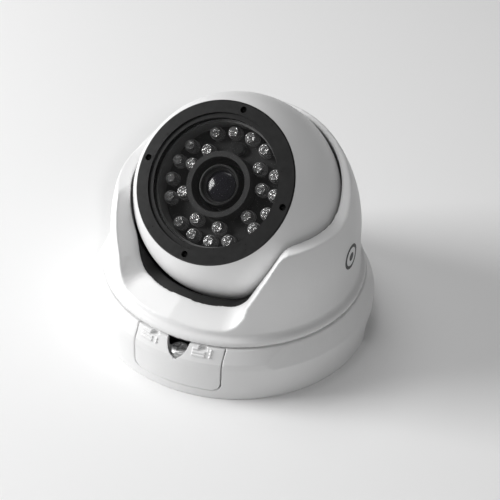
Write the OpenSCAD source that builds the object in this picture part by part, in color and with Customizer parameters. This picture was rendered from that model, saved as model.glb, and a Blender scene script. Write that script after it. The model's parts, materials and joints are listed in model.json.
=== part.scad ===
// Dome security camera: a white ball with a ring of infrared lamps, in a collar that turns on a cast base.
// The axis of the collar is Z. The ball looks towards -Y, and the base stands on the plane z = 0.

/* [Base] */
// How far the base reaches out beyond the ball
base_margin = 16; // [15:0.5:30]
// Height of the upright wall of the base
wall_h = 13.8; // [12:0.2:16]
// Height of the seam between base and collar
seam_z = 22; // [20:0.5:27]
// Thickness of the cast walls of the base
base_wall = 3.2; // [2.4:0.1:4]
// Width of the sloping shoulder, seen from above
shoulder_w = 4.1; // [3.6:0.1:5]
// Half angle of the raised plateau beside the latch
plateau_half = 38; // [32:0.5:50]
// Height of the plateau's outer edge above the wall
plateau_rise = 2.8; // [2.2:0.1:3.6]
// Angle between the plateau's end faces and the shoulder
plateau_tilt = 11; // [8:1:30]
// Angle by which the end faces lean away from the latch
plateau_slant = 30; // [0:5:35]
// Angle by which the base stands turned under the collar
base_turn = 7; // [0:0.5:30]
// Half width of the cable notch in the wall
notch_half = 7; // [5:0.5:9]
// Height of the cable notch
notch_h = 8; // [6:0.5:9]
// Angle from the latch round to the cable notch
notch_turn = 98; // [60:1:120]
// Height of the lowest point of the ball above the wall or ceiling
ball_low = 13; // [12.5:0.5:16]

/* [Mounting plate] */
// Thickness of the mounting plate
plate_t = 2.5; // [2:0.1:3]
// Pitch circle of the three wall screws
mount_pcd = 78; // [60:1:80]
// Radius of a wall screw hole
mount_hole_r = 2.4; // [2:0.1:3]
// Radius of the cable hole in the plate
cable_hole_r = 11; // [8:0.5:13]
// Radius of the cable bore in the grommet
cable_r = 3; // [2:0.1:4]

/* [Latch] */
// Width of the latch block
latch_w = 34; // [28:0.5:38]
// Lower edge of the latch block
latch_bottom = 4.2; // [3.8:0.1:5]
// Distance of the latch screw from the edge of the base, inwards
latch_screw_in = 4.6; // [4.6:0.1:5]
// Radius of the latch screw
latch_screw_r = 2; // [1.5:0.1:2.1]
// Radius of the head of the latch screw
latch_head_r = 3.5; // [3:0.1:3.6]
// Height of the floor of the screw pocket above the wall
pocket_rise = 1.4; // [1.2:0.1:2.4]

/* [Collar] */
// Height of the rim at the sides and the front
rim_rise = 5; // [2:0.5:9]
// Slope of the rim behind the ball
rim_slope = 27; // [15:1:32]
// Half width of the front scoop at the rim
scoop_top = 29; // [24:0.5:32]
// Half width of the front scoop at its floor
scoop_low = 21; // [15:0.5:24]
// Floor of the front scoop, above the seam
scoop_rise = 9; // [7:0.5:12]
// Radius of the scoop's lower corners
scoop_corner = 8; // [4:0.5:10]
// Radius of the scoop's upper corners
scoop_mouth = 5; // [3:0.5:7]
// Angle by which each side of the scoop flares outwards
scoop_flare = 14; // [8:1:18]
// Slope of the apron in front of the scoop
apron_slope = 22; // [12:1:25]
// How far the collar stands out from the ball at mid height
collar_swell = 7; // [5:0.2:9]

/* [Ball] */
// Diameter of the ball
ball_d = 78; // [76:0.5:94]
// Angle at which the ball looks up
ball_up = 44.5; // [20:0.5:88]
// Thickness of the ball's shells
shell_t = 2.4; // [2:0.1:3]
// Height of the joint between the shells along the optical axis
shell_split = -4; // [-8:0.5:0]

/* [Window] */
// Outer diameter of the bezel
bezel_d = 60.4; // [58:0.2:62]
// Width of the flat face of the bezel
bezel_face = 4.6; // [3.8:0.1:5.2]
// Radius of the clear opening
window_r = 23.8; // [23.4:0.1:24.4]
// Thickness of the glass
glass_t = 2; // [1.5:0.1:2.2]

/* [Lamps] */
// Diameter of a lamp
lamp_d = 4.9; // [4:0.1:5]
// Radius of the outer ring of lamps
lamp_outer_r = 20.4; // [20:0.1:20.6]
// Radius of the inner ring of lamps
lamp_inner_r = 15.1; // [14.9:0.1:15.3]
// Depth of the lamp board behind the bezel face
board_depth = 11; // [10.4:0.2:12]

/* [Lens] */
// Radius of the lens thread
lens_thread_r = 6; // [5:0.1:6.2]
// Radius of the lens head
lens_head_r = 7; // [6.5:0.1:7.5]
// Outer radius of the foam shroud round the lens
shroud_r = 12.2; // [11.5:0.1:12.4]

/* [Clearances] */
// Gap between the ball and its friction pads
pad_gap = 0.3; // [0.3:0.05:0.5]
// Gap between the ball and the collar
ball_gap = 0.9; // [0.6:0.1:1.5]
// Gap round a part that slides or turns
run_gap = 0.3; // [0.2:0.05:0.5]
// Gap of a part that only drops into place
seat_gap = 0.1; // [0.05:0.05:0.2]

/* [Hidden] */
$fn = 96;
white = "white";
black = [0.06, 0.06, 0.06];
big = 200;
eps = 0.01;

ball_r = ball_d / 2;
ball_z = ball_low + ball_r;
base_r = ball_r + base_margin;
lip_r = base_r - shoulder_w;
deck_z = seam_z - 0.4;
deck_t = 3;
wall_in = base_r - base_wall;
spigot_r = lip_r - 5.7;
spigot_t = 2.8;
snap_t = 1.2;
socket_r = ball_r + ball_gap;
rim_z = ball_z + rim_rise;
throat_r = ball_r - 0.5;
collar_foot = seam_z + 2.4;
skin_top = 1.5;
bezel_r = bezel_d / 2;
face_z = sqrt(ball_r * ball_r - bezel_r * bezel_r) + 0.3;
bezel_t = 4;
bezel_screw_r = bezel_r - 2.4;
step_t = 0.8;
lip_t = 0.7;
pocket_r = window_r + 1.7;
board_screw_r = pocket_r + 1;
glass_z = face_z - step_t - lip_t - seat_gap - glass_t;
board_z = face_z - board_depth;
board_t = 1.6;
sensor_z = board_z - 12.9;
main_z = sensor_z - 12;
post_xy = 14;
latch_r = base_r - latch_screw_in;
shelf_top = 10;
shelf_t = 2.3;
pocket_z = wall_h + pocket_rise;
pocket_gap = 0.8;
plate_screw_r = wall_in - 3.1;
notch_a = notch_turn - 90;
notch_corner = 2.5;
cradle_screw_r = spigot_r - spigot_t - 2.4;
latch_roof = deck_z - 0.1;
skirt_in = base_r - 1.9;
nut_out = latch_screw_in - (base_r - skirt_in) - 0.4;

// ---------- helpers ----------

function arc(centre, r, a0, a1, n = 10) =
    [for (i = [0:n]) centre + r * [cos(a0 + (a1 - a0) * i / n), sin(a0 + (a1 - a0) * i / n)]];

module ring(r_out, r_in, z0, z1) {
    translate([0, 0, z0]) difference() {
        cylinder(r = r_out, h = z1 - z0);
        translate([0, 0, -1]) cylinder(r = r_in, h = z1 - z0 + 2);
    }
}

module around(n, r, start = 0) {
    for (i = [0:n - 1]) rotate(start + 360 * i / n) translate([r, 0, 0]) children();
}

// Four places round the cradle, clear of the scoop.
module at_supports(r) { for (a = [-30, 30, 150, 210]) rotate(a) translate([r, 0, 0]) children(); }

// Things that keep the angle of the base: their front is at the latch.
module on_base() { rotate(base_turn) children(); }

// The ball's own frame: +Z is the way it looks, +Y is its top.
module on_ball() { translate([0, 0, ball_z]) rotate([90 - ball_up, 0, 0]) children(); }

// A pan head screw with a cross, its head's underside at z = 0.
module screw(r, head_r, head_h, length) {
    difference() {
        union() {
            translate([0, 0, -length]) cylinder(r = r, h = length + eps);
            rotate_extrude() polygon(concat([[0, 0], [head_r, 0], [head_r, head_h * 0.35]],
                arc([head_r - head_h * 0.65, head_h * 0.35], head_h * 0.65, 20, 90, 5), [[0, head_h]]));
        }
        for (a = [0, 90]) rotate(a) translate([-head_r * 0.62, -head_r * 0.13, head_h * 0.35])
            cube([head_r * 1.24, head_r * 0.26, head_h]);
    }
}

// ---------- base ----------

shoulder = [[base_r, 0], [base_r, wall_h], [lip_r + 0.5, deck_z], [spigot_r + run_gap, deck_z],
    [spigot_r + run_gap, deck_z - deck_t], [wall_in - 3, deck_z - deck_t], [wall_in, wall_h - 2],
    [wall_in, 0]];
plateau_edge = [[base_r, wall_h + 0.4], [base_r - 0.4, wall_h + plateau_rise],
    [base_r - 1.2, wall_h + plateau_rise + 1.2], [lip_r + 0.6, latch_roof]];
plateau = concat([[base_r, wall_h - 4]], plateau_edge, [[lip_r - 1, latch_roof], [wall_in - 2, wall_h - 2]]);

// The plateau ends in flat faces, a little steeper than the shoulder, that lean outwards at the top.
module plateau_body() {
    lean = atan2(shoulder_w - 0.5, deck_z - wall_h);
    reach = plateau_half + 14;
    difference() {
        intersection() {
            rotate_extrude() polygon(plateau);
            linear_extrude(big) polygon([[0, 0], big * [-sin(reach), -cos(reach)], [0, -2 * big],
                big * [sin(reach), -cos(reach)]]);
        }
        for (s = [-1, 1]) rotate(s * plateau_half) translate([0, -base_r, wall_h + 0.1])
            rotate([-lean, 0, 0]) rotate([0, s * plateau_slant, 0]) rotate(s * plateau_tilt)
                translate([-big, -2 * big, -big]) cube(2 * big);
    }
}

module latch_room(gap) {
    half = latch_w / 2 + gap;
    rotate([90, 0, 0]) translate([0, 0, lip_r - 3 - gap]) linear_extrude(big)
        polygon(concat(arc([-half + 3, latch_bottom + 3 - gap], 3, 180, 270, 5),
            arc([half - 3, latch_bottom + 3 - gap], 3, 270, 360, 5),
            [[half, seam_z + 5], [-half, seam_z + 5]]));
}

// The pocket round the head of the latch screw, wider towards the collar, with the deck left behind it.
module screw_pocket() {
    half = latch_head_r + pocket_gap;
    translate([0, -latch_r, pocket_z]) {
        cylinder(r = half, h = 20);
        linear_extrude(20) polygon([[-half, 0], [-half - 1, half - 1.4], [-half - 1, half - 0.1],
            [half + 1, half - 0.1], [half + 1, half - 1.4], [half, 0]]);
    }
}

// The shelf that the latch is screwed down on.
module latch_shelf() {
    intersection() {
        translate([-latch_w / 2 - 2, -base_r, shelf_top - shelf_t])
            cube([latch_w + 4, latch_screw_in + 6, shelf_t]);
        cylinder(r = skirt_in - run_gap, h = big);
    }
}

module base_ring() {
    color(white) on_base() difference() {
        union() {
            rotate_extrude() polygon(shoulder);
            plateau_body();
            around(3, plate_screw_r, 90) translate([0, 0, plate_t + 0.1]) cylinder(r = 3.4, h = wall_h - 3);
            for (s = [-1, 1]) translate([s * (latch_w / 2 + 1.6) - 1.3, -wall_in + 2.3, plate_t + 0.1])
                cube([2.6, 5, wall_h + 2]);
            latch_shelf();
        }
        difference() {
            latch_room(run_gap);
            latch_shelf();
        }
        translate([-latch_screw_r - 0.2, -base_r, shelf_top - shelf_t - 1])
            cube([2 * latch_screw_r + 0.4, base_r - latch_r, shelf_t + 2]);
        translate([0, -latch_r, shelf_top - shelf_t - 1]) cylinder(r = latch_screw_r + 0.2, h = shelf_t + 2);
        screw_pocket();
        around(3, plate_screw_r, 90) translate([0, 0, -1]) cylinder(r = 1.25, h = 10);
        rotate(notch_a) translate([wall_in - 4, 0, -1]) rotate([90, 0, 90]) linear_extrude(20)
            polygon(concat([[-notch_half, 0], [notch_half, 0]],
                arc([notch_half - notch_corner, notch_h + 1 - notch_corner], notch_corner, 0, 90, 5),
                arc([-notch_half + notch_corner, notch_h + 1 - notch_corner], notch_corner, 90, 180, 5)));
    }
}

module mounting_plate() {
    color("lightgray") on_base() difference() {
        union() {
            cylinder(r = wall_in - 0.2, h = plate_t);
            ring(cable_hole_r + 2.5, cable_hole_r, 0, plate_t + 1.5);
        }
        translate([0, 0, -1]) cylinder(r = cable_hole_r, h = 10);
        around(3, mount_pcd / 2, 30) translate([0, 0, -1]) cylinder(r = mount_hole_r, h = 10);
        around(3, plate_screw_r, 90) translate([0, 0, -1]) cylinder(r = 1.6, h = 10);
        around(3, plate_screw_r, 90) translate([0, 0, -1]) cylinder(r = 3, h = 2.3);
        rotate(notch_a) translate([wall_in - 9, -notch_half, -1]) cube([20, 2 * notch_half, 10]);
    }
}

module plate_screws() {
    color("silver") on_base() around(3, plate_screw_r, 90) translate([0, 0, 1.3])
        rotate([180, 0, 0]) screw(1.2, 2.8, 1.2, 7);
}

module base_gasket() {
    color(black) on_base() ring(wall_in - 8.4, wall_in - 10.4, plate_t, plate_t + 1);
}

module cable_grommet() {
    color(black) on_base() rotate_extrude() polygon([[cable_r, 0.3], [cable_hole_r - 2, 0.3],
        [cable_hole_r - seat_gap, 0.9], [cable_hole_r - seat_gap, plate_t + 1.6],
        [cable_hole_r + 1.8, plate_t + 1.6], [cable_hole_r + 1.4, plate_t + 2.8],
        [cable_r + 2.6, plate_t + 3.4], [cable_r + 1.6, plate_t + 8], [cable_r, plate_t + 8]]);
}

module slip_ring() { color("gray") ring(spigot_r + 3.4, spigot_r + 0.8, deck_z, seam_z - 0.02); }

// ---------- latch ----------

// Three ribs, each with a dot beside it, down the slope of the block. rib_x and dot_x count from its middle.
grip_top = plateau_edge[3];
grip_low = plateau_edge[2];
module grips(rib_x, dot_x) {
    for (i = [0:2]) {
        at = grip_top + (grip_low - grip_top) * (0.22 + 0.27 * i);
        rotate(asin(rib_x / at[0])) translate([-2.4, -at[0], at[1]]) rotate([0, 90, 0])
            cylinder(r = 0.45, h = 4.8);
        rotate(asin(dot_x / at[0])) translate([0, -at[0], at[1]]) sphere(r = 0.5);
    }
}

module latch_block() {
    color(white) on_base() difference() {
        union() {
            intersection() {
                rotate_extrude() polygon(concat([[base_r, latch_bottom - 1]], plateau_edge,
                    [[lip_r - 4, latch_roof], [lip_r - 4, latch_bottom - 1]]));
                latch_room(0);
            }
            grips(-(latch_w / 2 - 4.6), -(latch_w / 2 - 8.7));
            grips(latch_w / 2 - 8.7, latch_w / 2 - 4.4);
        }
        translate([0, 0, -1]) cylinder(r = skirt_in, h = shelf_top + 1 + run_gap);
        translate([0, -latch_r, 0]) cylinder(r = latch_screw_r + 0.15, h = 40);
        screw_pocket();
        for (s = [-1, 1]) translate([s * (latch_w / 2 - 7.4), -lip_r - 0.1, latch_roof - 1.2])
            cylinder(r = 1.7, h = 5);
    }
}

module latch_nut() {
    color("silver") on_base() translate([0, -latch_r, latch_bottom + 0.2]) difference() {
        translate([-3.5, -nut_out, 0]) cube([7, 3.5 + nut_out, 3]);
        translate([0, 0, -1]) cylinder(r = latch_screw_r + 0.02, h = 5);
    }
}

module latch_screw() {
    color("silver") on_base() translate([0, -latch_r, pocket_z + 0.55])
        screw(latch_screw_r, latch_head_r, 2, pocket_z - latch_bottom - 0.2);
}

module latch_washer() {
    color("silver") on_base() translate([0, -latch_r, 0])
        ring(latch_head_r - 0.1, latch_screw_r + 0.05, pocket_z + 0.02, pocket_z + 0.53);
}

// ---------- collar ----------

// Distance of the collar's skin from the ball's centre, at an angle above the ball's waist.
swell = collar_swell - skin_top - ball_gap;
function skin(a) = socket_r + skin_top + (a < 50 ? swell * pow(1 - a / 50, 2) : 0);
waist_a = -14;
skin_line = [for (a = [waist_a:4:70]) [skin(a) * cos(a), ball_z + skin(a) * sin(a)]];
waist = skin_line[0];
collar_profile = concat([[spigot_r, seam_z - 5.8], [spigot_r, seam_z], [lip_r, seam_z],
    [lip_r, seam_z + 1.6], [lip_r - 0.8, seam_z + 2.5], [lip_r - 1.9, seam_z + 2.9],
    [lip_r - 2.4, seam_z + 3.8],
    [(lip_r - 2.4) * 0.55 + waist[0] * 0.45, (seam_z + 3.8) * 0.6 + waist[1] * 0.4]], skin_line,
    [[0, ball_z + skin(70) * sin(70)], [0, seam_z - 5.8]]);

// What the ball looks out of: level at the front and sides, climbing behind.
module rim_cut() {
    bend = 26;
    t = bend * tan(rim_slope / 2);
    rotate([90, 0, 90]) translate([0, 0, -big / 2]) linear_extrude(big)
        polygon(concat([[-big, rim_z]], arc([-t, rim_z + bend], bend, 270, 270 + rim_slope, 8),
            [[big * cos(rim_slope), rim_z + big * sin(rim_slope)], [0, big * 2], [-big, big * 2]]));
}

// The scoop seen from the front: a bowl whose mouth turns out into the rim.
function scoop_side(floor_z) = let (lean = atan2(scoop_top - scoop_low, rim_z - floor_z - scoop_corner))
    concat(arc([scoop_low - scoop_corner, floor_z + scoop_corner], scoop_corner, 270, 360 - lean, 8),
        arc([scoop_top + scoop_mouth, rim_z - scoop_mouth + 0.3], scoop_mouth, 180 - lean, 90, 6));
function both_sides(side) = concat(side, [for (i = [len(side) - 1:-1:0]) [-side[i][0], side[i][1]]]);

module scoop_cut(floor_z = seam_z + scoop_rise) {
    mouth = concat(scoop_side(floor_z), [[big, rim_z + 0.3], [big, big]]);
    floor_edge = concat(arc([scoop_low - scoop_corner, scoop_corner], scoop_corner, 270, 350, 8),
        [[scoop_low + 1, scoop_corner * 2]]);
    for (turn = [-scoop_flare, scoop_flare]) translate([0, -ball_r / 2, 0]) rotate(turn) {
        rotate([90, 0, 0]) linear_extrude(big) polygon(both_sides(mouth));
        translate([0, -ball_r / 2, floor_z]) rotate([90 + apron_slope, 0, 0]) translate([0, 0, -1])
            linear_extrude(big) polygon(both_sides(floor_edge));
    }
}

module collar() {
    color(white) difference() {
        rotate_extrude() polygon(collar_profile);
        translate([0, 0, ball_z]) sphere(r = socket_r);
        translate([0, 0, collar_foot]) cylinder(r = throat_r, h = ball_z - seam_z - 10);
        cylinder(r = spigot_r - spigot_t, h = collar_foot);
        rim_cut();
        scoop_cut();
        ring(spigot_r + 1, spigot_r - 0.9, seam_z - 5, seam_z - 5 + snap_t + 0.1);
        at_supports(cradle_screw_r) translate([0, 0, collar_foot - 1]) cylinder(r = 1.05, h = 7);
        for (a = [0, 90, 180]) rotate(a) rotate_extrude(angle = 40, start = -20)
            polygon([[throat_r + 2.4, collar_foot - 6], [spigot_r - 1.4, collar_foot - 6],
                [spigot_r - 1.4, ball_z - 16], [throat_r + 2.4, ball_z - 20]]);
    }
}

module snap_ring() {
    color("silver") difference() {
        ring(spigot_r + 1, spigot_r - 0.8, seam_z - 4.98, seam_z - 5 + snap_t);
        translate([-4, 0, 0]) cube([8, big, seam_z]);
    }
}

module cradle() {
    seat_r = ball_r + 1.2;
    foot_r = spigot_r - spigot_t - 0.3;
    low = collar_foot - 1.9;
    color(black) difference() {
        rotate_extrude() polygon([[seat_r - 12.5, low], [foot_r, low], [foot_r, collar_foot - seat_gap],
            [throat_r - 0.3, collar_foot - seat_gap], [throat_r - 0.3, ball_z - 9],
            [seat_r - 12.5, collar_foot + 2]]);
        translate([0, 0, ball_z]) sphere(r = seat_r);
        scoop_cut(seam_z + scoop_rise - 1);
        at_supports(cradle_screw_r) translate([0, 0, low - 1]) cylinder(r = 1.4, h = 9);
    }
}

module cradle_screws() {
    color("silver") at_supports(cradle_screw_r) translate([0, 0, collar_foot - 1.95])
        rotate([180, 0, 0]) screw(1, 1.9, 1.2, 6);
}

// Four felt pads on the cradle grip the ball.
module friction_pads() {
    color("dimgray") intersection() {
        translate([0, 0, ball_z]) difference() {
            sphere(r = ball_r + 1.15);
            sphere(r = ball_r + pad_gap);
        }
        at_supports(ball_r - 6) translate([-6, -5, ball_z - 25]) cube([12, 10, 9]);
    }
}

// ---------- ball ----------

module rear_gland() {
    inside = ball_r - shell_t - 1.4;
    color(black) on_ball() rotate([180, 0, 0]) rotate_extrude() polygon([[cable_r, ball_r - 6],
        [9, ball_r - 6], [9, inside], [6.3, inside], [6.3, ball_r - 0.7], [cable_r, ball_r - 0.7]]);
}

module ball_shell(from, to) {
    intersection() {
        difference() {
            sphere(r = ball_r);
            sphere(r = ball_r - shell_t);
        }
        translate([0, 0, from]) cylinder(r = ball_r + 1, h = to - from);
    }
}

boss_r = ball_r - shell_t - 2.2;
module front_shell() {
    color(white) on_ball() difference() {
        union() {
            ball_shell(shell_split + seat_gap, face_z);
            intersection() {
                ring(ball_r, window_r + seat_gap, face_z - bezel_t - 3, face_z - bezel_t - seat_gap);
                sphere(r = ball_r - 0.5);
            }
            around(3, board_screw_r, 15) translate([0, 0, board_z])
                cylinder(r = 2, h = board_depth - bezel_t - 2);
            intersection() {
                around(4, boss_r, 45) translate([0, 0, shell_split + 0.5]) cylinder(r = 3, h = 9);
                sphere(r = ball_r - 1);
            }
        }
        translate([0, 0, face_z - bezel_t]) cylinder(r = bezel_r + 0.1, h = 20);
        around(3, board_screw_r, 15) translate([0, 0, board_z - 1]) cylinder(r = 0.85, h = 5);
        around(4, bezel_screw_r, 0) translate([0, 0, face_z - bezel_t - 4]) cylinder(r = 0.7, h = 8);
        around(4, boss_r, 45) translate([0, 0, shell_split - 1]) cylinder(r = 1, h = 8);
    }
}

module rear_shell() {
    color(white) on_ball() difference() {
        union() {
            ball_shell(-ball_r - 1, shell_split);
            intersection() {
                around(4, boss_r, 45) translate([0, 0, shell_split - 12]) cylinder(r = 3, h = 12);
                sphere(r = ball_r - 1);
            }
        }
        translate([0, 0, -ball_r - 1]) cylinder(r = 6.5, h = 10);
        around(4, boss_r, 45) translate([0, 0, shell_split - 20]) cylinder(r = 1.3, h = 30);
        around(4, boss_r, 45) translate([0, 0, -ball_r]) cylinder(r = 2.6, h = ball_r + shell_split - 4);
        ring(ball_r - 0.9, ball_r - 1.9, shell_split - 0.8, shell_split + 1);
    }
}

module shell_seal() {
    color(black) on_ball() ring(ball_r - 0.95, ball_r - 1.85, shell_split - 0.75, shell_split + 0.05);
}

module shell_screws() {
    color("silver") on_ball() around(4, boss_r, 45) translate([0, 0, shell_split - 4.05])
        rotate([180, 0, 0]) screw(0.95, 2.2, 1.4, 9);
}

module bezel() {
    color(black) on_ball() difference() {
        rotate_extrude() polygon([[bezel_r, face_z - bezel_t + 0.05], [bezel_r, face_z - 0.35],
            [bezel_r - 0.35, face_z], [bezel_r - bezel_face, face_z], [bezel_r - bezel_face, face_z - step_t],
            [window_r, face_z - step_t], [window_r, face_z - step_t - lip_t],
            [pocket_r, face_z - step_t - lip_t],
            [pocket_r, face_z - bezel_t + 0.05]]);
        around(4, bezel_screw_r, 0) translate([0, 0, face_z - 10]) cylinder(r = 0.75, h = 20);
        around(4, bezel_screw_r, 0) translate([0, 0, face_z - 2.2]) cylinder(r = 1.2, h = 20);
    }
}

module bezel_screws() {
    color(black) on_ball() around(4, bezel_screw_r, 0) translate([0, 0, face_z - 2.15])
        screw(0.65, 1.1, 0.7, 5);
}

module window_glass() {
    color([0.8, 0.9, 0.95, 0.3]) on_ball() translate([0, 0, glass_z])
        cylinder(r = pocket_r - 0.15, h = glass_t);
}

module window_seal() {
    color(black) on_ball()
        ring(pocket_r - 0.2, window_r + 0.15, face_z - bezel_t - seat_gap + 0.02, glass_z - 0.02);
}

module spacer_ring() {
    color("gray") on_ball() ring(window_r - 0.05, window_r - 0.75, board_z + 0.02, glass_z - 0.05);
}

board_r = pocket_r + 3;
module lamp_board() {
    color(black) on_ball() difference() {
        translate([0, 0, board_z - board_t]) cylinder(r = board_r, h = board_t);
        translate([0, 0, board_z - 5]) cylinder(r = 9, h = 10);
        around(3, board_screw_r, 15) translate([0, 0, board_z - 5]) cylinder(r = 1.05, h = 10);
    }
}

module lamp_board_screws() {
    color("silver") on_ball() around(3, board_screw_r, 15) translate([0, 0, board_z - board_t - 0.02])
        rotate([180, 0, 0]) screw(0.8, 1.7, 1.1, 4.5);
}

// A lamp: a flange, a straight body and a round nose.
module lamp() {
    r = lamp_d / 2;
    nose = glass_z - board_z - 0.2 - r;
    rotate_extrude() polygon(concat([[0, 0.02], [r + 0.15, 0.02], [r + 0.15, 1], [r, 1]],
        arc([0, nose - r], r, 0, 90, 8)));
}

outer_angles = [for (g = [0:90:270]) for (a = [-30, -10, 10, 30]) g + a];
inner_angles = [for (a = [45, 75, 117, 162]) for (s = [-1, 1]) s * a];
module lamps(r, angles) {
    color([0.85, 0.88, 0.9]) on_ball() for (a = angles) rotate(90 + a) translate([r, 0, board_z]) lamp();
}
module lamps_outer() { lamps(lamp_outer_r, outer_angles); }
module lamps_inner() { lamps(lamp_inner_r, inner_angles); }

module light_sensor() {
    color("dimgray") on_ball() translate([0, lamp_inner_r, board_z + 0.02]) {
        cylinder(r = 2.5, h = 1.6);
        cylinder(r = 2, h = 2.4);
    }
}

module lens_shroud() {
    color([0.2, 0.2, 0.2]) on_ball() ring(shroud_r, shroud_r - 2, board_z + 0.02, glass_z - 0.2);
}

module lens_holder() {
    color(black) on_ball() difference() {
        union() {
            translate([0, 0, sensor_z + 0.02]) cylinder(r = lens_thread_r + 2, h = 8.6);
            translate([-9, -9, sensor_z + 0.02]) cube([18, 18, 3]);
        }
        translate([0, 0, sensor_z - 1]) cylinder(r = lens_thread_r + 0.05, h = 20);
    }
}

module at_posts(z) {
    for (x = [-1, 1], y = [-1, 1]) translate([x * post_xy, y * post_xy, z]) children();
}

module sensor_board() {
    color("darkgreen") on_ball() difference() {
        translate([-18, -18, sensor_z - board_t]) cube([36, 36, board_t]);
        at_posts(sensor_z - 5) cylinder(r = 1.1, h = 10);
    }
}

module image_sensor() {
    color([0.15, 0.15, 0.2]) on_ball() translate([-3.8, -3.8, sensor_z + 0.02]) cube([7.6, 7.6, 1]);
}

module ir_filter() {
    color([0.5, 0.2, 0.2]) on_ball() translate([0, 0, sensor_z + 1.6])
        cylinder(r = lens_thread_r - 0.1, h = 0.6);
}

module posts(z0, z1) {
    color("gold") on_ball() at_posts(z0) cylinder(r = 2.3, h = z1 - z0, $fn = 6);
}
module front_posts() { posts(sensor_z + 0.02, board_z - board_t - 0.02); }
module rear_posts() { posts(main_z + 0.02, sensor_z - board_t - 0.02); }

module main_board() {
    color("darkgreen") on_ball() difference() {
        translate([0, 0, main_z - board_t]) cylinder(r = 26, h = board_t);
        at_posts(main_z - 5) cylinder(r = 1.1, h = 10);
    }
}

module board_screws() {
    color("silver") on_ball() at_posts(main_z - board_t - 0.02) rotate([180, 0, 0])
        screw(1, 2, 1.2, board_t);
}

module board_socket() {
    color("ivory") on_ball() translate([-6, -22, main_z - board_t - 6]) difference() {
        cube([12, 6, 6]);
        translate([1, 1, -1]) cube([10, 4, 6]);
    }
}

// ---------- lens ----------

head_top = glass_z - 1.2;
module lens_barrel() {
    color(black) on_ball() rotate_extrude() polygon([[lens_thread_r - 1.2, sensor_z + 2.6],
        [lens_thread_r - 0.05, sensor_z + 2.6], [lens_thread_r - 0.05, head_top - 6],
        [lens_head_r, head_top - 5.4], [lens_head_r, head_top - 0.4], [lens_head_r - 0.4, head_top],
        [5.6, head_top], [5.2, head_top - 1.2], [5.2, head_top - 4], [lens_thread_r - 1.2, head_top - 5]]);
}

module lens_front_glass() {
    color([0.3, 0.3, 0.4]) on_ball() rotate_extrude()
        polygon(concat([[0, head_top - 3.6], [5.1, head_top - 3.6]],
            arc([0, head_top - 11.7], 10.4, 60.6, 90, 8)));
}

module lens_rear_glass() {
    color([0.3, 0.3, 0.4]) on_ball() translate([0, 0, sensor_z + 3]) cylinder(r = lens_thread_r - 1.3, h = 2);
}

module lens_lock_ring() {
    color(black) on_ball() difference() {
        ring(lens_thread_r + 2.2, lens_thread_r + 0.05, sensor_z + 8.7, sensor_z + 10.9);
        around(12, lens_thread_r + 2.5, 0) translate([0, 0, sensor_z]) cylinder(r = 0.7, h = 20);
    }
}

base_ring();
mounting_plate();
plate_screws();
base_gasket();
cable_grommet();
slip_ring();
latch_block();
latch_nut();
latch_screw();
latch_washer();
collar();
snap_ring();
cradle();
cradle_screws();
friction_pads();
rear_gland();
front_shell();
rear_shell();
shell_seal();
shell_screws();
bezel();
bezel_screws();
window_glass();
window_seal();
spacer_ring();
lamp_board();
lamps_outer();
lamps_inner();
light_sensor();
lens_shroud();
lamp_board_screws();
lens_holder();
sensor_board();
image_sensor();
ir_filter();
front_posts();
rear_posts();
main_board();
board_screws();
board_socket();
lens_barrel();
lens_front_glass();
lens_rear_glass();
lens_lock_ring();
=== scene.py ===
import json
import math

import bmesh
import bpy
from mathutils import Matrix, Vector


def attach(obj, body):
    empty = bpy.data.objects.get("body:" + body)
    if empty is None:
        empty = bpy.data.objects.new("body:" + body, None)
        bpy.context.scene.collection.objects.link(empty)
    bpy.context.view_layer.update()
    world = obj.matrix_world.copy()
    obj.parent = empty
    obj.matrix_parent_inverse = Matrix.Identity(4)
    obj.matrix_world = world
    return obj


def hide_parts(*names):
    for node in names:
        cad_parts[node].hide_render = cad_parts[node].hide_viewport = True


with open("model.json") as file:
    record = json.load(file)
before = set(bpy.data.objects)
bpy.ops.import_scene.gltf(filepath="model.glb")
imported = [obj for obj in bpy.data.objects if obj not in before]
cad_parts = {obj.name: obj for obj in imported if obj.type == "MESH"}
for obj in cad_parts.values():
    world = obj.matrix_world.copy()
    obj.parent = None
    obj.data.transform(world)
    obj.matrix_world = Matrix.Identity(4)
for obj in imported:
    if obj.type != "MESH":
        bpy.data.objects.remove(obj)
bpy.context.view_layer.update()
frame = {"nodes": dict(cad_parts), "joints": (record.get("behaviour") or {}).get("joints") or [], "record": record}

nodes = frame["nodes"]
joints = {j["name"]: j for j in frame["joints"]}
bodyOf = {n: b for b, ns in frame["record"]["behaviour"]["bodies"].items() for n in ns}
slotOf = {s["node"]: s["material_slot"] for s in frame["record"]["subparts"]}
mm = 0.001


def placed(spot, x, y, z):
    return Matrix.Translation(spot) @ Matrix((x, y, z)).transposed().to_4x4()


# the ball's own frame: Z is the way it looks, Y is its top
gaze = Vector(joints["roll"]["axis"]).normalized()
ballX = Vector((1, 0, 0))
onBall = placed(Vector(joints["roll"]["pos_m"]), ballX, gaze.cross(ballX), gaze)


class Wire:
    # an output socket: + - and * on it add Math nodes
    def __init__(self, paint, socket):
        self.paint = paint
        self.socket = socket

    def maths(self, operation, a, b):
        return self.paint.node("ShaderNodeMath", {"operation": operation}, {0: a, 1: b})

    def __add__(self, other):
        return self.maths("ADD", self, other)

    def __radd__(self, other):
        return self.maths("ADD", other, self)

    def __sub__(self, other):
        return self.maths("SUBTRACT", self, other)

    def __rsub__(self, other):
        return self.maths("SUBTRACT", other, self)

    def __mul__(self, other):
        return self.maths("MULTIPLY", self, other)

    def __rmul__(self, other):
        return self.maths("MULTIPLY", other, self)


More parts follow.
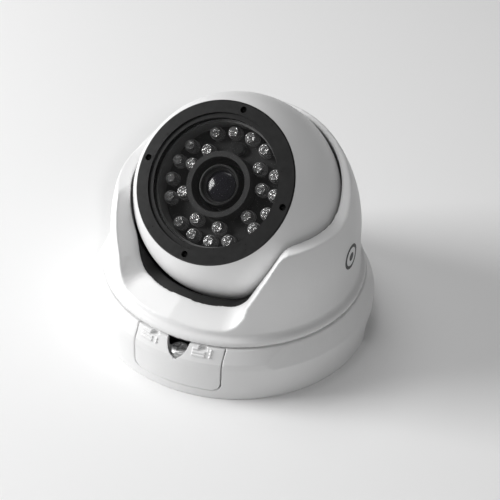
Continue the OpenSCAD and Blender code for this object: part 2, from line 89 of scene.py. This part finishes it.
class Paint:
    # a material with one Principled shader, whose other nodes all come from node()
    def __init__(self, name, **sockets):
        self.material = bpy.data.materials.new(name)
        self.material.use_nodes = True
        self.tree = self.material.node_tree
        self.shader = self.tree.nodes["Principled BSDF"]
        self.place = self.node("ShaderNodeTexCoord", {}, {}, "Object")
        self.set(**sockets)

    def put(self, socket, value):
        if isinstance(value, Wire):
            self.tree.links.new(value.socket, socket)
        else:
            socket.default_value = value

    def set(self, **sockets):
        # socket names are written without their spaces
        names = {s.name.replace(" ", ""): s for s in self.shader.inputs}
        for name, value in sockets.items():
            self.put(names[name], value)

    def node(self, kind, settings, inputs, output=0):
        made = self.tree.nodes.new(kind)
        for key, value in settings.items():
            setattr(made, key, value)
        for key, value in inputs.items():
            self.put(made.inputs[key], value)
        return Wire(self, made.outputs[output])

    def noise(self, scale, detail=2.0, rough=0.5):
        inputs = {"Vector": self.place, "Scale": scale, "Detail": detail, "Roughness": rough}
        return self.node("ShaderNodeTexNoise", {}, inputs)

    def rim(self, blend):
        return self.node("ShaderNodeLayerWeight", {}, {"Blend": blend}, "Facing")

    def mix(self, factor, first, second):
        inputs = {0: factor, 6: tone(first), 7: tone(second)}    # the factor and the two colours
        return self.node("ShaderNodeMix", {"data_type": "RGBA"}, inputs, 2)

    def bump(self, height, depth, strength=1.0, under=None):
        inputs = {"Height": height, "Distance": depth, "Strength": strength}
        if under is not None:
            inputs["Normal"] = under
        return self.node("ShaderNodeBump", {}, inputs)

    def tones(self, look):
        return self.mix(self.noise(look["patch"], look.get("patchDetail", 3.0)), look["dark"], look["light"])

    def gloss(self, look):
        uneven = self.noise(look["glossPatch"], look.get("glossDetail", 2.0)) - 0.5
        return look["gloss"] + look["glossSpread"] * uneven

    def grain(self, look, under=None):
        height = self.noise(look["grain"], look.get("grainDetail", 2.0), look.get("grainRough", 0.5))
        return self.bump(height, look["grainDepth"], look["grainStrength"], under)


def tone(value):
    # a number is a grey
    return value if isinstance(value, tuple) else (value, value, value, 1.0)


def grained(name, look, **sockets):
    # two tones, an uneven gloss and, where the look has one, a fine grain
    p = Paint(name, **sockets)
    p.set(BaseColor=p.tones(look), Roughness=p.gloss(look))
    if "grain" in look:
        p.set(Normal=p.grain(look))
    return p


def whitePaint():
    look = {"dark": 0.74, "light": 0.80, "patch": 45,
            "gloss": 0.36, "glossSpread": 0.10, "glossPatch": 300, "glossDetail": 3.0,
            "peel": 900, "peelDepth": 0.00006, "peelStrength": 0.5,
            "grain": 5200, "grainDepth": 0.000012, "grainStrength": 0.5}
    p = Paint("whitePowderCoat", IOR=1.48, CoatRoughness=0.25)
    peel = p.bump(p.noise(look["peel"], 1.0), look["peelDepth"], look["peelStrength"])
    p.set(BaseColor=p.tones(look), Roughness=p.gloss(look), Normal=p.grain(look, peel))
    return p.material


def satinBlack():
    look = {"dark": 0.006, "light": 0.012, "patch": 220,
            "gloss": 0.30, "glossSpread": 0.12, "glossPatch": 600, "glossDetail": 3.0,
            "grain": 3500, "grainDepth": 0.00002, "grainStrength": 0.6}
    return grained("satinBlackBezel", look, IOR=1.45).material


def mouldedBlack():
    look = {"dark": 0.012, "light": 0.022, "patch": 160,
            "gloss": 0.5, "glossSpread": 0.14, "glossPatch": 500, "glossDetail": 3.0,
            "grain": 2600, "grainDepth": 0.00003, "grainStrength": 0.6}
    return grained("mouldedBlack", look, IOR=1.5).material


def foamRubber():
    look = {"dark": 0.014, "light": 0.032, "patch": 900,
            "gloss": 0.62, "glossSpread": 0.2, "glossPatch": 1500,
            "cells": 2600, "cellDepth": 0.00008, "cellStrength": 0.7}
    p = grained("foamRubber", look, IOR=1.45)
    cells = p.node("ShaderNodeTexVoronoi", {}, {"Vector": p.place, "Scale": look["cells"]})
    p.set(Normal=p.bump(cells, look["cellDepth"], look["cellStrength"]))
    return p.material


def softRubber():
    look = {"dark": 0.01, "light": 0.02, "patch": 300,
            "gloss": 0.7, "glossSpread": 0.15, "glossPatch": 800,
            "grain": 2200, "grainDepth": 0.00003, "grainStrength": 0.5}
    return grained("softRubber", look, IOR=1.5).material


def greyPlastic():
    look = {"dark": 0.12, "light": 0.16, "patch": 300,
            "gloss": 0.42, "glossSpread": 0.1, "glossPatch": 700,
            "grain": 2400, "grainDepth": 0.00002, "grainStrength": 0.5}
    return grained("greyPlastic", look, IOR=1.5).material


def feltGrey():
    look = {"dark": 0.05, "light": 0.11, "patch": 1800, "patchDetail": 5.0,
            "gloss": 0.9, "glossSpread": 0.05, "glossPatch": 900,
            "grain": 4200, "grainDetail": 4.0, "grainRough": 0.7, "grainDepth": 0.00025, "grainStrength": 0.8}
    return grained("feltGrey", look, IOR=1.4, SheenWeight=0.4).material


def zincMetal():
    look = {"dark": 0.58, "light": 0.72, "patch": 700, "patchDetail": 4.0,
            "gloss": 0.42, "glossSpread": 0.22, "glossPatch": 1600, "glossDetail": 4.0,
            "grain": 5200, "grainDetail": 3.0, "grainDepth": 0.00002, "grainStrength": 0.6}
    return grained("zincPlate", look, Metallic=1.0).material


def stampedAluminium():
    look = {"dark": 0.50, "light": 0.58, "patch": 90, "patchDetail": 4.0,
            "gloss": 0.42, "glossSpread": 0.2, "glossPatch": 400, "glossDetail": 5.0,
            "grain": 1900, "grainDetail": 4.0, "grainDepth": 0.00002, "grainStrength": 0.6}
    return grained("stampedAluminium", look, Metallic=1.0).material


def brassMetal():
    look = {"dark": (0.55, 0.40, 0.16, 1), "light": (0.68, 0.52, 0.24, 1), "patch": 700, "patchDetail": 2.0,
            "gloss": 0.32, "glossSpread": 0.15, "glossPatch": 1500}
    return grained("brassPost", look, Metallic=1.0).material


def circuitBoard(name, look):
    # solder mask over a grid of copper tracks
    p = grained(name, look, IOR=1.5)
    inputs = {"Vector": p.place, "Scale": look["tracks"], "Mortar Size": 0.03}
    tracks = p.node("ShaderNodeTexBrick", {}, inputs)
    p.set(Normal=p.bump(tracks, look["trackDepth"], look["trackStrength"]))
    return p.material


def blackBoard():
    look = {"dark": 0.008, "light": 0.014, "patch": 350,
            "gloss": 0.38, "glossSpread": 0.12, "glossPatch": 900,
            "tracks": 420, "trackDepth": 0.00002, "trackStrength": 0.4}
    return circuitBoard("blackSolderMask", look)


def greenBoard():
    look = {"dark": (0.012, 0.09, 0.035, 1), "light": (0.02, 0.13, 0.05, 1),
            "patch": 500, "patchDetail": 2.0,
            "gloss": 0.35, "glossSpread": 0.1, "glossPatch": 900,
            "tracks": 380, "trackDepth": 0.00003, "trackStrength": 0.5}
    return circuitBoard("greenSolderMask", look)


def clearWindow():
    look = {"body": 0.02, "gloss": 0.02, "clear": 0.10, "smears": 60, "smearDepth": 0.04}
    p = Paint("clearWindow", BaseColor=tone(look["body"]), Roughness=look["gloss"], IOR=1.5)
    p.set(Alpha=look["clear"] + look["smearDepth"] * p.noise(look["smears"], 3.0))
    p.material.surface_render_method = "BLENDED"
    return p.material


def clearEpoxy():
    # the high index makes up for the low alpha, which thins the reflections too; the lighter edge tone towards the
    # rim is a painted reflection
    look = {"body": 0.12, "edge": 0.75, "blend": 0.35, "clear": 0.20, "edgeClear": 0.90}
    p = Paint("clearEpoxy", Roughness=0.05, IOR=3.2)
    rim = p.rim(look["blend"])
    # painted reflection: the base colour goes from the body tone to the lighter edge tone towards the dome's rim
    p.set(BaseColor=p.mix(rim, look["body"], look["edge"]), Alpha=look["clear"] + look["edgeClear"] * rim)
    p.material.surface_render_method = "BLENDED"
    return p.material


def brightCup():
    look = {"dark": 0.86, "light": 0.98, "patch": 2500,
            "gloss": 0.14, "glossSpread": 0.08, "glossPatch": 3000,
            "grain": 1900, "grainDepth": 0.00020, "grainStrength": 1.0}
    return grained("brightReflector", look, Metallic=1.0).material


def lensCoating():
    # the lighter edge tone towards the rim is a painted sheen on the coated glass
    look = {"body": (0.012, 0.012, 0.016, 1), "edge": (0.03, 0.028, 0.036, 1), "blend": 0.4,
            "gloss": 0.09, "haze": 400, "hazeDepth": 0.04, "clear": 0.90, "edgeClear": 0.08}
    p = Paint("coatedLens", IOR=1.5, CoatWeight=0.3)
    rim = p.rim(look["blend"])
    # painted sheen: the base colour goes from the body tone to the lighter edge tone towards the rim
    p.set(BaseColor=p.mix(rim, look["body"], look["edge"]),
          Roughness=look["gloss"] + look["hazeDepth"] * p.noise(look["haze"]),
          Alpha=look["clear"] + look["edgeClear"] * rim)
    p.material.surface_render_method = "BLENDED"
    return p.material


def redFilter():
    look = {"dark": (0.30, 0.04, 0.05, 1), "light": (0.36, 0.06, 0.07, 1), "patch": 500, "patchDetail": 2.0}
    p = Paint("redFilter", IOR=1.5, Roughness=0.05)
    p.set(BaseColor=p.tones(look))
    return p.material


def darkWindow():
    look = {"dark": 0.015, "light": 0.03, "patch": 900,
            "gloss": 0.18, "glossSpread": 0.08, "glossPatch": 1200}
    return grained("darkSensorWindow", look, IOR=1.5, CoatWeight=1.0).material


def inkBlack():
    look = {"dark": 0.008, "light": 0.014, "patch": 600,
            "gloss": 0.4, "glossSpread": 0.1, "glossPatch": 900}
    return grained("printedInk", look, IOR=1.5).material


def paleFloor():
    look = {"dark": 0.88, "light": 0.90, "patch": 3,
            "gloss": 0.7, "glossSpread": 0.05, "glossPatch": 20}
    return grained("paleFloor", look, IOR=1.4).material


finishes = {
    "white_paint": whitePaint(), "bare_aluminium": stampedAluminium(), "zinc_steel": zincMetal(),
    "black_rubber": softRubber(), "foam_rubber": foamRubber(), "grey_plastic": greyPlastic(),
    "black_plastic": mouldedBlack(), "felt": feltGrey(), "black_bezel": satinBlack(),
    "clear_glass": clearWindow(), "black_board": blackBoard(), "clear_lamp": clearEpoxy(),
    "sensor_face": darkWindow(), "green_board": greenBoard(), "red_glass": redFilter(),
    "brass_post": brassMetal(), "lens_glass": lensCoating()}
reflectorFinish = brightCup()
inkFinish = inkBlack()
print("materials made:", len(finishes) + 2)


def smoothShade(bm, limit):
    # edges that fold by more than limit degrees stay sharp
    for face in bm.faces:
        face.smooth = True
    for edge in bm.edges:
        edge.smooth = len(edge.link_faces) == 2 and edge.calc_face_angle(0) < math.radians(limit)


def makePiece(name, bm, body, slot, material=None, limit=35, replaces=()):
    smoothShade(bm, limit)
    mesh = bpy.data.meshes.new(name)
    bm.to_mesh(mesh)
    bm.free()
    piece = bpy.data.objects.new(name, mesh)
    bpy.context.scene.collection.objects.link(piece)
    mesh.materials.append(material or finishes[slot])
    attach(piece, body)
    if replaces:
        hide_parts(*replaces)
    return piece


def cadCopy(node):
    bm = bmesh.new()
    bm.from_mesh(nodes[node].data)
    bmesh.ops.remove_doubles(bm, verts=bm.verts, dist=1e-6)
    return bm


def settle(piece):
    # the piece's modifiers become its mesh
    bpy.context.view_layer.update()
    graph = bpy.context.evaluated_depsgraph_get()
    mesh = bpy.data.meshes.new_from_object(piece.evaluated_get(graph))
    piece.modifiers.clear()
    piece.data = mesh


def cast(node, look):
    # a casting: the CAD shape with every edge rounded a little
    piece = makePiece(look["piece"], cadCopy(node), bodyOf[node], slotOf[node], limit=180, replaces=(node,))
    remesh = piece.modifiers.new("grain", "REMESH")
    remesh.mode = "VOXEL"
    remesh.voxel_size = look["voxel"]
    remesh.use_smooth_shade = True
    smooth = piece.modifiers.new("soften", "SMOOTH")
    smooth.factor = 0.5
    smooth.iterations = look["passes"]
    thin = piece.modifiers.new("thin", "DECIMATE")
    thin.ratio = look["keep"]
    settle(piece)
    for polygon in piece.data.polygons:
        polygon.use_smooth = True
    print(look["piece"], "faces", len(piece.data.polygons))
    return piece


castings = {   # voxel in metres; keep is the share of faces left
    "collar": {"piece": "collarCasting", "voxel": 0.00050, "passes": 7, "keep": 0.6},
    "base_ring": {"piece": "baseCasting", "voxel": 0.00036, "passes": 3, "keep": 0.28},
    "latch_block": {"piece": "latchCasting", "voxel": 0.00014, "passes": 2, "keep": 0.6}}
casts = {node: cast(node, look) for node, look in castings.items()}

# CAD pieces shown with smooth faces, and the fold in degrees that stays sharp
smoothed = {"front_shell": 30, "rear_shell": 30, "bezel": 30, "window_glass": 30, "spacer_ring": 30,
            "cradle": 30, "lens_shroud": 30, "latch_screw": 25, "latch_washer": 30, "lamp_board": 30,
            "light_sensor": 30, "cable_grommet": 30, "slip_ring": 30, "mounting_plate": 30,
            "bezel_screws": 25, "rear_gland": 30, "friction_pads": 30, "snap_ring": 30}
for node, limit in smoothed.items():
    makePiece(node + ".shown", cadCopy(node), bodyOf[node], slotOf[node], limit=limit, replaces=(node,))
for node, piece in nodes.items():
    piece.data.materials.clear()
    piece.data.materials.append(finishes[slotOf[node]])
print("castings and CAD pieces finished")


def arc(centreR, centreZ, radius, start, end, count):
    turns = [math.radians(start + (end - start) * i / count) for i in range(count + 1)]
    return [(centreR + radius * math.cos(t), centreZ + radius * math.sin(t)) for t in turns]


def spun(bm, outline, steps, closed=False):
    # spins a half outline of (radius, height) points, in millimetres, round Z
    verts = [bm.verts.new((r * mm, 0, z * mm)) for r, z in outline]
    pairs = list(zip(verts, verts[1:])) + ([(verts[-1], verts[0])] if closed else [])
    edges = [bm.edges.new(p) for p in pairs]
    bmesh.ops.spin(bm, geom=verts + edges, cent=(0, 0, 0), axis=(0, 0, 1), angle=math.tau,
                   steps=steps, use_merge=True)


def turned(outline, steps, place, closed=False):
    bm = bmesh.new()
    spun(bm, outline, steps, closed)
    bmesh.ops.remove_doubles(bm, verts=bm.verts, dist=1e-7)
    bmesh.ops.recalc_face_normals(bm, faces=bm.faces)
    bmesh.ops.transform(bm, matrix=place, verts=bm.verts)
    return bm


def joined(parts):
    whole = bmesh.new()
    for part in parts:
        mesh = bpy.data.meshes.new("part")
        part.to_mesh(mesh)
        part.free()
        whole.from_mesh(mesh)
        bpy.data.meshes.remove(mesh)
    return whole


def lampPlaces(node):
    # where each lamp of the CAD node stands on the board, in the ball's frame
    bm = cadCopy(node)
    bmesh.ops.transform(bm, matrix=onBall.inverted(), verts=bm.verts)
    left = set(bm.verts)
    places = []
    while left:
        island = set()
        edge = {left.pop()}
        while edge:
            island |= edge
            edge = {e.other_vert(v) for v in edge for e in v.link_edges} - island
        left -= island
        xs, ys, zs = zip(*(v.co for v in island))
        places.append(((min(xs) + max(xs)) / 2, (min(ys) + max(ys)) / 2, min(zs), max(zs) - min(zs)))
    bm.free()
    return sorted(places)


lampSize = {"radius": 2.45, "flange": 2.62, "flangeHeight": 1.0, "seat": 0.05,
            "domeSteps": 28, "domeRows": 10,
            "cupBottom": 2.9, "cupTop": 4.1, "cupInner": 0.5, "cupOuter": 1.6, "cupLip": 0.12,
            "cupWall": 0.05, "cupFloor": 0.2, "stem": 0.5, "stemDepth": 0.5, "cupSteps": 20,
            "lead": 0.28, "leadSpread": 0.75, "leadShort": 0.3, "leadSeat": 0.1}


def lampBody(height):
    s = lampSize
    outline = [(0, s["seat"]), (s["flange"], s["seat"]), (s["flange"], s["flangeHeight"]),
               (s["radius"], s["flangeHeight"])]
    return outline + arc(0, height - s["radius"], s["radius"], 0, 90, s["domeRows"])


def lampMetal(place):
    # the reflector cup on its stem, and the two leads
    s = lampSize
    low = s["cupBottom"]
    cup = [(0, low), (s["cupInner"], low), (s["cupOuter"], s["cupTop"]),
           (s["cupOuter"] + s["cupLip"], s["cupTop"]), (s["cupOuter"] + s["cupWall"], low + s["cupFloor"]),
           (s["stem"], low - s["stemDepth"]), (0, low - s["stemDepth"])]
    parts = [turned(cup, s["cupSteps"], place)]
    tall = (low - s["leadShort"]) * mm
    size = Matrix.Diagonal((s["lead"] * 2 * mm, s["lead"] * mm, tall, 1))
    for side in (-1, 1):
        lead = bmesh.new()
        bmesh.ops.create_cube(lead, size=1)
        where = Matrix.Translation((side * s["leadSpread"] * mm, 0, tall / 2 + s["leadSeat"] * mm))
        bmesh.ops.transform(lead, matrix=place @ where @ size, verts=lead.verts)
        parts.append(lead)
    return parts


for node, name in (("lamps_outer", "lampsOuter"), ("lamps_inner", "lampsInner")):
    domes = []
    metal = []
    for x, y, low, height in lampPlaces(node):
        turn = Matrix.Rotation(math.atan2(y, x), 4, "Z")
        place = onBall @ Matrix.Translation((x, y, low)) @ turn
        domes.append(turned(lampBody(height / mm), lampSize["domeSteps"], place))
        metal += lampMetal(place)
    makePiece(name + "Clear", joined(domes), "eyeball", "clear_lamp", limit=40, replaces=(node,))
    makePiece(name + "Metal", joined(metal), "eyeball", "clear_lamp", reflectorFinish, limit=30)
print("lamps made")


def ballHeights(node):
    # lowest and highest point along the gaze, in millimetres
    zs = [(onBall.inverted() @ v.co).z / mm for v in nodes[node].data.vertices]
    return min(zs), max(zs)


lensSize = {"head": 7.6, "headBottom": 5.4, "headBevel": 0.3, "headRound": 0.35, "headRoundTop": 0.5,
            "groove": [(7.1, 0), (7.0, 0.2), (6.9, 0.2), (6.8, 0)], "rim": 6.7, "rimDrop": 0.1,
            "thread": 5.95, "threadTop": 6.6, "threadDepth": 0.28, "pitch": 0.5, "shoulder": 6, "wall": 1.1,
            "steps": [6.3, 6.0, 5.7, 4.6, 3.6, 2.6], "firstStep": 1.2, "stepDepth": 0.5, "stepGap": 1.35,
            "pupil": 1.6, "pupilDepth": 1.0, "turns": 72}
lensLow, lensHigh = ballHeights("lens_barrel")


def lensOutline():
    s = lensSize
    top = lensHigh
    inside = s["thread"] - s["wall"]
    outline = [(inside, lensLow)]
    z = lensLow
    while z < top - s["threadTop"]:   # thread grooves
        outline += [(s["thread"], z), (s["thread"] - s["threadDepth"], z + s["pitch"] / 2)]
        z += s["pitch"]
    outline += [(s["thread"], top - s["shoulder"]), (s["head"] - s["headBevel"], top - s["headBottom"]),
                (s["head"], top - s["headBottom"] + s["headBevel"]), (s["head"], top - s["headRoundTop"])]
    outline += arc(s["head"] - s["headRound"], top - s["headRound"], s["headRound"], 0, 90, 4)
    outline += [(r, top - drop) for r, drop in s["groove"] + [(s["rim"], s["rimDrop"])]]
    depth = top - s["firstStep"]
    for step in s["steps"]:           # rings down to the glass
        outline += [(step, depth), (step, depth - s["stepDepth"])]
        depth -= s["stepDepth"] * s["stepGap"]
    floor = depth - s["pupilDepth"]
    return outline + [(s["pupil"], depth), (s["pupil"], floor), (inside, floor)]


makePiece("lensBarrelTurned", turned(lensOutline(), lensSize["turns"], onBall, closed=True), "lens",
          "black_plastic", limit=25, replaces=("lens_barrel",))

glassSize = {"edge": 5.6, "thick": 1.6, "curve": 18, "edgeAngle": 71.9, "rows": 14, "turns": 64}
glassHigh = ballHeights("lens_front_glass")[1]
glassBack = glassHigh - glassSize["thick"]
glassOutline = [(0, glassBack), (glassSize["edge"], glassBack)]
glassOutline += arc(0, glassHigh - glassSize["curve"], glassSize["curve"], glassSize["edgeAngle"], 90,
                    glassSize["rows"])
makePiece("lensFrontGlass", turned(glassOutline, glassSize["turns"], onBall), "lens", "lens_glass", limit=40,
          replaces=("lens_front_glass",))
print("lens made")

# a plain ring and dot printed on the collar's side; sizes in millimetres
emblem = {"azimuth": 93.0, "height": 42.0, "away": 70, "outer": 5.0, "inner": 3.7, "dot": 1.7, "rows": 3,
          "turns": 64, "lift": 0.06}
markTurn = math.radians(emblem["azimuth"] - 90)
markSide = Vector((math.cos(markTurn), math.sin(markTurn), 0))


def markShape():
    s = emblem
    bm = bmesh.new()
    for inner, outer in ((s["inner"], s["outer"]), (0, s["dot"])):
        spun(bm, [(inner + (outer - inner) * i / s["rows"], 0) for i in range(s["rows"] + 1)], s["turns"])
    bmesh.ops.remove_doubles(bm, verts=bm.verts, dist=1e-7)
    bmesh.ops.recalc_face_normals(bm, faces=bm.faces)
    if sum(f.normal.z for f in bm.faces) < 0:
        bmesh.ops.reverse_faces(bm, faces=bm.faces)
    spot = Vector((0, 0, s["height"] * mm)) + markSide * s["away"] * mm
    up = Vector((0, 0, 1))
    bmesh.ops.transform(bm, matrix=placed(spot, up.cross(markSide), up, markSide), verts=bm.verts)
    return bm


def layOn(bm, target, direction, lift):
    # each vertex goes along direction until it meets target
    bpy.context.view_layer.update()
    for v in bm.verts:
        hit, point, normal, _ = target.ray_cast(v.co, direction)
        if hit:
            v.co = point + normal * lift
    return bm


mark = layOn(markShape(), casts["collar"], -markSide, emblem["lift"] * mm)
makePiece("sideMark", mark, "turntable", "white_paint", inkFinish, limit=60)
print("side mark laid on the collar")

view = {"azimuth": 27.9, "elevation": 38.9, "roll": 3.0, "distance": 0.5014, "focal": 94.0, "sensor": 36,
        "near": 0.01, "aim": (0.0060, 0.0009, 0.0281)}


def cameraAxes():
    a, e, r = (math.radians(view[k]) for k in ("azimuth", "elevation", "roll"))
    back = Vector((math.sin(a) * math.cos(e), -math.cos(a) * math.cos(e), math.sin(e)))
    right = Vector((math.cos(a), math.sin(a), 0))
    up = back.cross(right)
    return right * math.cos(r) + up * math.sin(r), up * math.cos(r) - right * math.sin(r), back


right, up, back = cameraAxes()
aim = Vector(view["aim"])
bpy.ops.object.camera_add()
camera = bpy.context.object
camera.matrix_world = placed(aim + back * view["distance"], right, up, back)
camera.data.lens = view["focal"]
camera.data.sensor_width = view["sensor"]
camera.data.clip_start = view["near"]
bpy.context.scene.camera = camera

lights = {   # metres from the aim, to the left, up and towards the camera; then size in metres and watts
    "key": {"left": 1.00, "up": 0.50, "near": -0.05, "size": 0.50, "watts": 12.5},
    "top": {"left": 0.30, "up": 1.10, "near": -0.30, "size": 0.60, "watts": 4.0},
    "glint": {"left": -0.15, "up": 0.70, "near": 0.90, "size": 0.07, "watts": 1.9}}
flatBack = Vector((back.x, back.y, 0)).normalized()
for name, light in lights.items():
    lamp = bpy.data.lights.new(name, "AREA")
    lamp.size = light["size"]
    lamp.energy = light["watts"]
    holder = bpy.data.objects.new(name, lamp)
    bpy.context.scene.collection.objects.link(holder)
    spot = aim - right * light["left"] + Vector((0, 0, light["up"])) + flatBack * light["near"]
    holder.matrix_world = Matrix.Translation(spot) @ (spot - aim).to_track_quat("Z", "Y").to_matrix().to_4x4()

stage = {"floor": 6.0, "world": 0.12}
world = bpy.data.worlds.new("studio")
world.use_nodes = True
sky = world.node_tree.nodes["Background"]
sky.inputs["Color"].default_value = tone(1.0)
sky.inputs["Strength"].default_value = stage["world"]
bpy.context.scene.world = world
bpy.context.scene.view_settings.view_transform = "Standard"

floorMesh = bmesh.new()
bmesh.ops.create_grid(floorMesh, x_segments=1, y_segments=1, size=stage["floor"])
floorData = bpy.data.meshes.new("floor")
floorMesh.to_mesh(floorData)
floorMesh.free()
floor = bpy.data.objects.new("floor", floorData)
bpy.context.scene.collection.objects.link(floor)
floorData.materials.append(paleFloor())
print("stage set")
